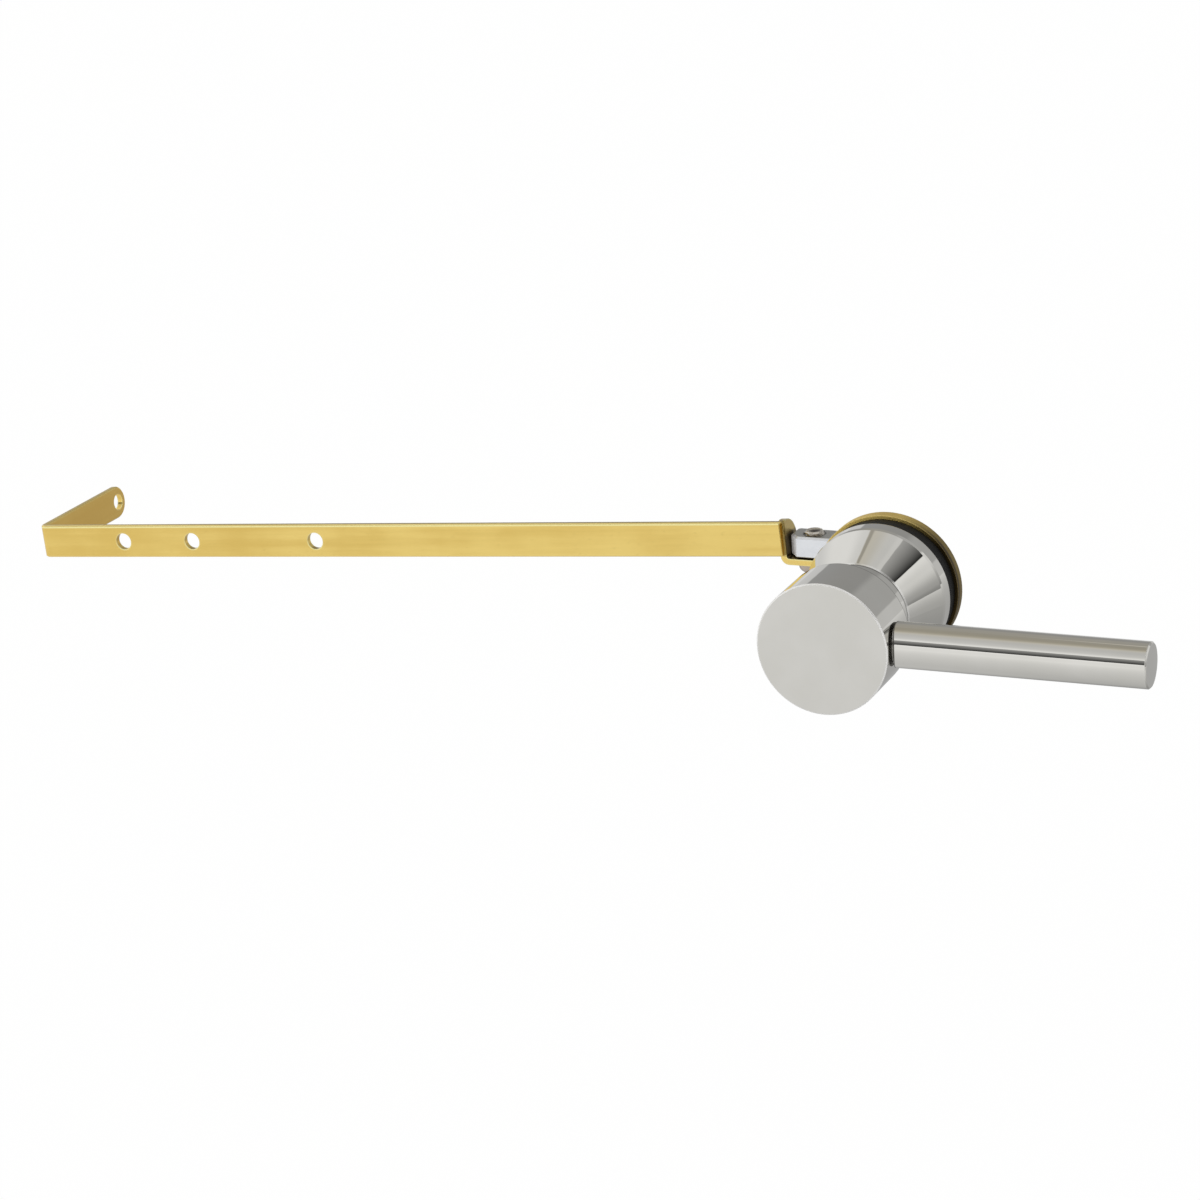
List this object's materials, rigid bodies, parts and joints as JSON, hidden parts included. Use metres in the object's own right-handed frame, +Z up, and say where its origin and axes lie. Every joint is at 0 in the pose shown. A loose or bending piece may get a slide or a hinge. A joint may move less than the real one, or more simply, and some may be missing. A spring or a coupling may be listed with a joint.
{
  "type": "cistern lever",
  "caption": "Front-mounted toilet tank lever: polished nickel hub and rod handle on a conical escutcheon, rubber gasket, brass clamp washer and a folded brass lifting arm with holes",
  "frame": {"origin": "where the lever's turning axis meets the tank's outer face, which the gasket lies on", "axes": "+Y into the tank along the turning axis, +X along the handle at rest, +Z up"},
  "size_m": [0.31, 0.1067, 0.0342],
  "materials": {
    "polished_nickel": "polished",
    "turned_brass": "turned",
    "strip_brass": "satin",
    "black_rubber": "matte",
    "black_acetal": "moulded",
    "bright_steel": "zinc plated",
    "screw_steel": "nickel plated",
    "dark_steel": "black oxide"
  },
  "bodies": {
    "mount": {"escutcheon": "polished_nickel", "shank": "turned_brass", "gasket": "black_rubber", "clamp_washer": "turned_brass", "lock_nut": "turned_brass", "front_bush": "black_acetal", "rear_bush": "black_acetal"},
    "lever": {"hub": "polished_nickel", "handle_rod": "polished_nickel", "grub_screw": "dark_steel", "stop_pin": "bright_steel", "spindle": "bright_steel", "arm": "strip_brass", "arm_screw": "screw_steel"}
  },
  "joints": [
    {"name": "lever_turn", "type": "hinge", "parent": "mount", "child": "lever", "pos_m": [0, 0, 0], "axis": [0, 1, 0], "range_deg": [0, 30]}
  ]
}
